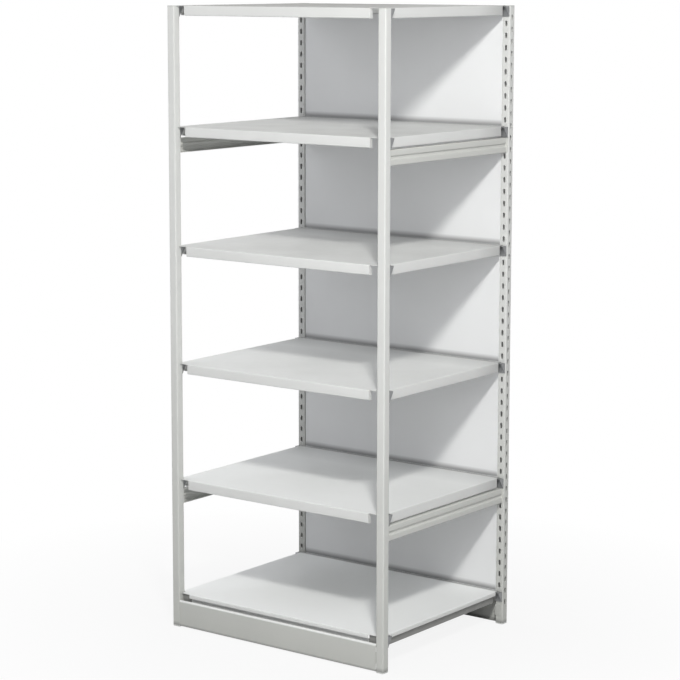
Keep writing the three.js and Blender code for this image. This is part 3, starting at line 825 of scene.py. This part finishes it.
class BAY_OT_shelves(bpy.types.Operator):
    """Makes the folded pan shelves with their ribs"""
    bl_idname = "bay.shelves"
    bl_label = "Shelves"

    def pan(self, sizes, low, high, lip):
        """The shelf's skin: two fold sections and the cut-outs round the posts."""
        radius = sizes.bend_radius + sizes.shelf_sheet / 2
        notch_x = POST_INNER_X - sizes.slide_gap
        notch_y = POST_INNER_Y - sizes.slide_gap
        lip_x = lip_reach(sizes)
        lip_y = notch_y - CLIP_REACH
        x_stops = np.concatenate([[-notch_x], np.linspace(-lip_x, lip_x, SHELF_STOPS[0]), [notch_x]])
        y_stops = np.concatenate([[-notch_y], np.linspace(-lip_y, lip_y, SHELF_STOPS[1]), [notch_y]])
        across = pan_profile(low.x, high.x, x_stops, lip, radius)
        along = pan_profile(low.y, high.y, y_stops, lip, radius)
        return folded_pan(across, along, (notch_x, notch_y), (lip_x, lip_y))

    def corner_plate(self, sizes, side, front, drop):
        """A plate behind the gap at one end of the bottom shelf's nose, from the lip's end to the post; its
        dark paint is painted shade.
        """
        near = lip_reach(sizes) - sizes.shelf_sheet
        far = POST_INNER_X - sizes.slide_gap
        x = np.sort([side * near, side * far])
        y = front + sizes.nose_step + sizes.seat_gap
        return upright_face(x, [y, y], [-drop, -sizes.shelf_sheet / 2])

    def lip_tab(self, sizes, x, lip_y, drop):
        """A tab that closes one end of a front or rear lip, between the lip, the plate and the return."""
        half = sizes.shelf_sheet / 2
        way = np.sign(lip_y)
        y = np.sort([lip_y - way * half, lip_y - way * sizes.lip_return])[::int(np.sign(x))]
        face = x - np.sign(x) * sizes.seat_gap
        return upright_face([face, face], y, [half - drop, -half])

    def rib(self, sizes):
        """The rib's lower skin: a hat-shaped path across Y carried along X between the lips' ends."""
        half = sizes.rib_crown / 2
        top = -2 * sizes.shelf_sheet
        deep = top - sizes.rib_depth
        foot = half + sizes.rib_slope
        wide = foot + sizes.rib_flange
        path = bent_path([(-wide, top), (-foot, top), (-half, deep), (half, deep), (foot, top), (wide, top)],
                         sizes.bend_radius)
        end = lip_reach(sizes)
        y, z = (np.tile(part, 2) for part in path.T)
        points = np.stack([np.repeat([-end, end], len(path)), y, z], 1)
        return points, grid_quads(2, len(path)).tolist()

    def paints(self, sizes, finish):
        """The paint of the upper shelves, and that of the bottom shelf, which is painted dark, as painted
        shade, on its recessed side lips and in the gaps at the ends of its nose."""
        low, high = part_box(BASE_SHELF)
        # Painted light: upward faces take the lighter paint, so the tops read lighter than the lips of the
        # same sheet.
        plate = (facing("Z", 1), finish.lit_face_paint, 1)
        # Dust and painted shade: upper faces darken with height.
        dust_and_shade = (dust_and_shade_top, finish.dust_and_shade, 1)
        # Painted shade: the upper shelves' tops darken towards the rear.
        swept = (before("Y", high.y, finish.rear_zone_shade_extent), finish.grime_and_shade, finish.rear_zone_shade)
        # Painted shade: a dark band along the shelf's rear edge.
        darkening = (before("Y", high.y, finish.rear_edge_shade_extent), finish.grime_and_shade, finish.rear_edge_shade)
        step = high.z - sizes.nose_height
        under_nose = beyond("Z", step + MASK_EDGE, step - MASK_EDGE)
        behind = low.y + sizes.nose_step
        recess = both(facing("Y", -1), before("Y", behind, (3 * MASK_EDGE, MASK_EDGE)))
        end = lip_reach(sizes)
        # Painted shade: the side lips under the nose and the plates in the nose's end gaps take the dark
        # paint.
        dark = []
        for side in SIDES.values():
            beside = beyond("X", side * (end - 3 * MASK_EDGE), side * (end - 2 * MASK_EDGE))
            dark.append((both(under_nose, facing("X", side)), finish.base_shade_paint, 1))
            dark.append((both(recess, beside), finish.base_shade_paint, 1))
        upper = powder_coat("shelf_powder_coat", finish.shelf_paint, finish, [plate, dust_and_shade, swept, darkening])
        base = powder_coat("base_shelf_powder_coat", finish.shelf_paint, finish, [plate, darkening, *dark])
        return upper, base

    def execute(self, context):
        sizes, finish = chosen(context)
        upper, base = self.paints(sizes, finish)
        end, back = lip_reach(sizes), sizes.lip_return
        for name in SHELF_NODES:
            low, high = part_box(name)
            drop = high.z - low.z
            if name == BASE_SHELF:
                paint = base
                nose, step = sizes.nose_height, sizes.nose_step
                lip = [(0, 0), (0, nose), (step, nose), (step, drop), (step + back, drop)]
                tabs = [self.corner_plate(sizes, side, low.y, drop) for side in SIDES.values()]
            else:
                paint = upper
                lip = [(0, 0), (0, drop), (back, drop)]
                tabs = [self.lip_tab(sizes, x, y, drop) for x in (-end, end) for y in (low.y, high.y)]
            shells = [self.pan(sizes, low, high, lip), self.rib(sizes), *tabs]
            shells = [moved(shell, (0, 0, high.z)) for shell in shells]
            add_piece(name, "pan", shells, paint, name, sizes.shelf_sheet, sizes.edge_round)
        return {"FINISHED"}


class BAY_OT_clips(bpy.types.Operator):
    """Makes the hook-in clips under the shelf corners"""
    bl_idname = "bay.clips"
    bl_label = "Clips"

    def clip(self, sizes):
        """A bent angle, a web on each side and a hook, before the post face at y = minus half the post."""
        plate = sizes.clip_plate
        middle = plate / 2
        back = -POST_SIZE / 2 - sizes.seat_gap
        front = -POST_SIZE / 2 - CLIP_REACH
        path = bent_path([(front, -middle), (back - middle, -middle), (back - middle, -CLIP_HEIGHT)], plate)
        half = CLIP_WIDTH / 2
        shells = [along_x(carried_sheet(path, plate, -half, half)), hook(sizes, -CLIP_HEIGHT / 2)]
        tip, foot = front + sizes.seat_gap, sizes.seat_gap - CLIP_HEIGHT
        web = np.array([(back - middle, -middle), (tip, -middle), (tip, -2 * plate), (back - plate, foot),
                        (back - middle, foot)])
        outer = half - sizes.seat_gap
        inner = outer - plate
        for low, high in ((inner, outer), (-outer, -inner)):
            shells.append(along_x(carried(web, low, high)))
        return shells

    def execute(self, context):
        sizes, finish = chosen(context)
        steel = bare_steel("clip_steel", finish.clip_steel, finish.clip_metal, finish.clip_roughness)
        shells = self.clip(sizes)
        for number, top in enumerate(SHELF_TOPS, 1):
            for corner, (side, end) in CORNERS.items():
                node = f"clip_{number}_{corner}"
                place = (side * POST_X, end * POST_Y, top - LEDGE_DROP)
                own = [moved(shell, place, end < 0) for shell in shells]
                add_piece(node, "bracket", own, steel, "frame", edge=sizes.edge_round)
        return {"FINISHED"}


class BAY_OT_ties(bpy.types.Operator):
    """Makes the grooved side ties"""
    bl_idname = "bay.ties"
    bl_label = "Side ties"

    def tie(self, sizes, height, slot_z):
        """A tie for the right side with its top at 0: a C section with a groove, carried along Y between two
        hooked end plates."""
        half = sizes.tie_sheet / 2
        web = POST_SIZE / 2 - sizes.tie_inset - half
        inner = web - sizes.tie_depth + sizes.tie_sheet
        deep = web - sizes.groove_depth
        floor = sizes.groove_floor / 2
        mouth = floor + sizes.groove_slope
        middle = -height / 2
        path = bent_path([
            (half - height, inner), (half - height, web), (middle - mouth, web), (middle - floor, deep),
            (middle + floor, deep), (middle + mouth, web), (-half, web), (-half, inner)], sizes.bend_radius)
        reach = POST_INNER_Y - sizes.seat_gap
        plate = sizes.clip_plate
        shells = [along_y(carried_sheet(path, sizes.tie_sheet, plate / 2 - reach, reach - plate / 2))]
        wide = CLIP_WIDTH / 2
        outline = np.array([(-height, -wide), (0, -wide), (0, wide), (-height, wide)])
        end_plate = along_y(carried(outline, reach - plate, reach))
        end_hook = moved(hook(sizes, slot_z), (0, POST_Y, 0))
        for end in ENDS.values():
            shells += [moved(shell, half_turn=end < 0) for shell in (end_plate, end_hook)]
        return shells

    def execute(self, context):
        sizes, finish = chosen(context)
        # Painted shade: the ties take a darker copy of the frame's grey.
        paint = powder_coat("tie_powder_coat", finish.shaded_tie_paint, finish)
        slots = slot_heights(sizes)
        for node in nodes_named("tie_"):
            low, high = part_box(node)
            side = SIDES[node.rsplit("_", 1)[1]]
            slot = slots[np.abs(slots - (low.z + high.z) / 2).argmin()]
            shells = self.tie(sizes, high.z - low.z, slot - high.z)
            own = [moved(shell, (side * POST_X, 0, high.z), side < 0) for shell in shells]
            add_piece(node, "bar", own, paint, "frame", edge=sizes.edge_round)
        return {"FINISHED"}


class BAY_OT_plinths(bpy.types.Operator):
    """Makes the front and rear plinths with their brackets"""
    bl_idname = "bay.plinths"
    bl_label = "Plinths"

    def plinth(self, sizes):
        """The rear plinth: a folded strip carried along X, and at each end a bracket bent round the post."""
        half = sizes.plinth_sheet / 2
        face = PLINTH_HIGH.y - half
        low, high = PLINTH_LOW.z + half, PLINTH_HIGH.z - half
        strip = bent_path([(face - sizes.plinth_flange, low), (face, low), (face, high),
                           (face - sizes.plinth_hem, high)], sizes.bend_radius)
        end = POST_INNER_X - sizes.plinth_inset
        shells = [along_x(carried_sheet(strip, sizes.plinth_sheet, -end, end))]
        sheet = sizes.bracket_sheet
        weld = sizes.seat_gap / 3
        leg = POST_INNER_X - sizes.seat_gap - sheet / 2
        tab = face - half - sheet / 2 + weld
        lug = POST_INNER_Y - sizes.seat_gap - sheet / 2
        tip = POST_X + sizes.slot_width / 2 + sizes.bracket_margin
        corners = np.array([(leg - sizes.bracket_tab, tab), (leg, tab), (leg, lug), (tip, lug)])
        foot = PLINTH_MIDDLE - sizes.bracket_height / 2
        for side in SIDES.values():
            path = bent_path(corners * (side, 1), sizes.bend_radius)[::side]
            shells.append(carried_sheet(path, sheet, foot, foot + sizes.bracket_height))
            shells.append(moved(hook(sizes, PLINTH_MIDDLE), (side * POST_X, POST_Y, 0)))
        return shells

    def execute(self, context):
        sizes, finish = chosen(context)
        foot = PLINTH_LOW.z
        # Painted highlight: lighter paint along the plinth's top edge.
        rim_highlight = (before("Z", PLINTH_HIGH.z, finish.rim_highlight_extent), finish.lit_face_paint, finish.rim_highlight_cover)
        # The lowest few millimetres of the plinth are darker.
        darkening = (beyond("Z", foot + finish.plinth_foot_darkening_height, foot), finish.grime_and_shade, finish.plinth_foot_darkening)
        # Painted shade: the plinths are painted a darker copy of the frame's grey.
        paint = powder_coat("plinth_powder_coat", finish.shaded_strip_paint, finish, [rim_highlight, darkening])
        shells = self.plinth(sizes)
        for end, sign in ENDS.items():
            own = [moved(shell, half_turn=sign < 0) for shell in shells]
            add_piece(f"plinth_{end}", "bar", own, paint, "frame", edge=sizes.edge_round)
        return {"FINISHED"}


class BAY_OT_back_panel(bpy.types.Operator):
    """Makes the folded back panel"""
    bl_idname = "bay.back_panel"
    bl_label = "Back panel"

    def execute(self, context):
        sizes, finish = chosen(context)
        # Painted shade: a dark line on the panel just above each shelf.
        darkening = (above_shelves, finish.grime_and_shade, finish.panel_shade_line)
        paint = powder_coat("panel_powder_coat", finish.panel_paint, finish, [darkening])
        radius = sizes.bend_radius + sizes.panel_sheet / 2
        half_x, half_z = PANEL_HIGH.x, (PANEL_HIGH.z - PANEL_LOW.z) / 2
        lip = [(0, 0), (0, PANEL_HIGH.y - PANEL_LOW.y)]
        inset = 2 * radius
        x_stops = np.linspace(inset - half_x, half_x - inset, PANEL_STOPS[0])
        z_stops = np.linspace(inset - half_z, half_z - inset, PANEL_STOPS[1])
        across = pan_profile(-half_x, half_x, x_stops, lip, radius)
        along = pan_profile(-half_z, half_z, z_stops, lip, radius)
        points, faces = folded_pan(across, along, (half_x, half_z), (half_x - radius, half_z - radius))
        upright = points[:, [0, 2, 1]] * (1, -1, 1) + (0, PANEL_LOW.y, half_z + PANEL_LOW.z)
        add_piece("back_panel", "tray", [(upright, faces)], paint, "frame", sizes.panel_sheet,
                  sizes.edge_round)
        return {"FINISHED"}


class BAY_OT_screws(bpy.types.Operator):
    """Makes the screws that hold the back panel"""
    bl_idname = "bay.screws"
    bl_label = "Panel screws"

    def screw(self, sizes, head_radius, shank):
        """A screw along +Z with its head below 0. Rings run from the head's crown to the point, and a cross
        is pressed into the crown where a point lies near one of two axes."""
        head, radius = sizes.screw_head_height, sizes.screw_radius
        angle = np.linspace(0, 2 * math.pi, SCREW_SIDES, endpoint=False)
        crown = np.linspace(0, 1, DOME_RINGS) * math.pi / 2
        dome = np.stack([head_radius * np.sin(crown), -head * np.cos(crown) ** DOME_POWER], 1)
        section = np.concatenate([dome, [(radius, 0), (radius, shank - radius), (0, shank)]])
        x = section[:, :1] * np.cos(angle)
        y = section[:, :1] * np.sin(angle)
        near = np.minimum(np.abs(x), np.abs(y))
        far = np.maximum(np.abs(x), np.abs(y))
        in_head = np.arange(len(section))[:, None] < len(dome) - RIM_RINGS
        wide = CROSS_HALF_WIDTH * head_radius
        beside = np.clip((wide - near) / wide * CROSS_SLOPE, 0, 1)
        within = np.clip((CROSS_REACH * head_radius - far) / wide, 0, 1)
        z = section[:, 1:] + in_head * beside * within * CROSS_DEPTH * head
        points = np.stack([x, y, z], -1).reshape(-1, 3)
        return points, grid_quads(len(section), len(angle), wrap=True).tolist()

    def execute(self, context):
        sizes, finish = chosen(context)
        zinc = bare_steel("screw_zinc", finish.screw_zinc, finish.screw_metal, finish.screw_roughness)
        head = sizes.screw_head_height
        for node in nodes_named("panel_screw_"):
            low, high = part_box(node)
            side = SIDES[node.split("_")[2]]
            middle = (low + high) / 2
            points, faces = self.screw(sizes, (high.z - low.z) / 2, high.x - low.x - head)
            lying = points[:, [2, 1, 0]] * (side, side, -1)
            under_head = low.x + head if side > 0 else high.x - head
            shell = moved((lying, faces), (under_head, middle.y, middle.z))
            add_piece(node, "body", [shell], zinc, "frame")
        return {"FINISHED"}


class BAY_OT_stage(bpy.types.Operator):
    """Makes the camera, the lamps, the white surroundings and the floor"""
    bl_idname = "bay.stage"
    bl_label = "Stage"

    def camera(self, context, stage):
        """A camera that stands and looks as the stage values say."""
        data = bpy.data.cameras.new("camera")
        data.sensor_width = SENSOR_WIDTH
        data.lens = stage.lens
        data.shift_x, data.shift_y = stage.shift_x, stage.shift_y
        made = bpy.data.objects.new("camera", data)
        made.location = stage.camera_place
        made.rotation_euler = (math.pi / 2 - stage.camera_tilt, 0, stage.camera_turn)
        context.scene.collection.objects.link(made)
        context.scene.camera = made

    def lamp(self, context, name, place, power, shape, size, tint):
        """An area lamp at a place, turned towards the middle of the bay."""
        data = bpy.data.lights.new(name, "AREA")
        data.shape = shape
        data.size = size
        data.energy = power
        data.color = tint
        made = bpy.data.objects.new(name, data)
        made.location = place
        aim = (CAD_LOW + CAD_HIGH) / 2 - Vector(place)
        made.rotation_euler = aim.to_track_quat("-Z", "Y").to_euler()
        context.scene.collection.objects.link(made)

    def seen_directly(self, tree):
        """1 for a ray from the camera, a mirror or glass, and 0 for light on a surface."""
        path = add_node(tree, "ShaderNodeLightPath", {}).outputs
        clear = joined(tree, "MAXIMUM", path["Is Glossy Ray"], path["Is Transmission Ray"])
        return joined(tree, "MAXIMUM", path["Is Camera Ray"], clear)

    def mixed(self, tree, factor, first, second):
        """What lies between two shaders."""
        sockets = {0: factor, 1: first.outputs[0], 2: second.outputs[0]}
        return add_node(tree, "ShaderNodeMixShader", sockets).outputs[0]

    def surroundings(self, context, stage):
        """White to the eye, and an even soft light on the object."""
        world = bpy.data.worlds.new("surroundings")
        context.scene.world = world
        world.use_nodes = True
        tree = world.node_tree
        tree.nodes.clear()
        sky = {"Color": opaque(stage.sky_tint), "Strength": stage.sky_strength}
        light = add_node(tree, "ShaderNodeBackground", sky)
        white = add_node(tree, "ShaderNodeBackground", {"Color": WHITE, "Strength": 1.0})
        seen = self.mixed(tree, self.seen_directly(tree), light, white)
        add_node(tree, "ShaderNodeOutputWorld", {"Surface": seen})

    def floor(self, context, stage):
        """A wide pale floor that shows white to the eye and keeps part of the object's shadow."""
        half = stage.floor_size / 2
        mesh = bpy.data.meshes.new("floor")
        corners = [(-half, -half, 0), (half, -half, 0), (half, half, 0), (-half, half, 0)]
        mesh.from_pydata(corners, [], [(0, 1, 2, 3)])
        material, tree, place = new_material("pale_floor")
        matt = add_node(tree, "ShaderNodeBsdfDiffuse", {"Color": opaque(stage.floor_paint)})
        white = add_node(tree, "ShaderNodeEmission", {"Color": WHITE, "Strength": 1.0})
        away = add_node(tree, "ShaderNodeVectorMath", {0: place}, operation="LENGTH").outputs["Value"]
        clean = spread(tree, away, stage.shade_near, stage.shade_far, 1 - stage.floor_shade, 1)
        seen = self.mixed(tree, product(tree, self.seen_directly(tree), clean), matt, white)
        add_node(tree, "ShaderNodeOutputMaterial", {"Surface": seen})
        mesh.materials.append(material)
        made = bpy.data.objects.new("floor", mesh)
        context.scene.collection.objects.link(made)

    def execute(self, context):
        stage = context.scene.bay_stage
        self.camera(context, stage)
        self.lamp(context, "key_lamp", stage.key_place, stage.key_power, "DISK", stage.key_size,
                  stage.key_tint)
        for side in SOFT_LAMPS:
            place, power = getattr(stage, f"{side}_place"), getattr(stage, f"{side}_power")
            self.lamp(context, f"{side}_lamp", place, power, "SQUARE", stage.soft_size, stage.soft_tint)
        self.surroundings(context, stage)
        self.floor(context, stage)
        context.scene.view_settings.view_transform = "Standard"
        return {"FINISHED"}


class BAY_PT_panel(bpy.types.Panel):
    """Lists the bay's operators"""
    bl_idname = "BAY_PT_panel"
    bl_label = "Library shelving bay"
    bl_space_type = "VIEW_3D"
    bl_region_type = "UI"
    bl_category = "Shelving"

    def draw(self, context):
        for operator in OPERATORS:
            self.layout.operator(operator.bl_idname)


GROUPS = {"bay_sizes": BaySizes, "bay_finish": BayFinish, "bay_stage": BayStage}
OPERATORS = (BAY_OT_stage, BAY_OT_posts, BAY_OT_plugs, BAY_OT_shelves, BAY_OT_clips, BAY_OT_ties,
             BAY_OT_plinths, BAY_OT_back_panel, BAY_OT_screws)
CLASSES = (*GROUPS.values(), *OPERATORS, BAY_PT_panel)


def register():
    """Registers the classes and hangs the property groups on the scene."""
    for made in CLASSES:
        bpy.utils.register_class(made)
    for name, group in GROUPS.items():
        setattr(bpy.types.Scene, name, bpy.props.PointerProperty(type=group))


def unregister():
    """Takes the property groups off the scene and the classes out again."""
    for name in GROUPS:
        delattr(bpy.types.Scene, name)
    for made in reversed(CLASSES):
        bpy.utils.unregister_class(made)


def main():
    """Runs every operator in order."""
    register()
    for operator in OPERATORS:
        group, name = operator.bl_idname.split(".")
        getattr(getattr(bpy.ops, group), name)()


if __name__ == "__main__":
    main()
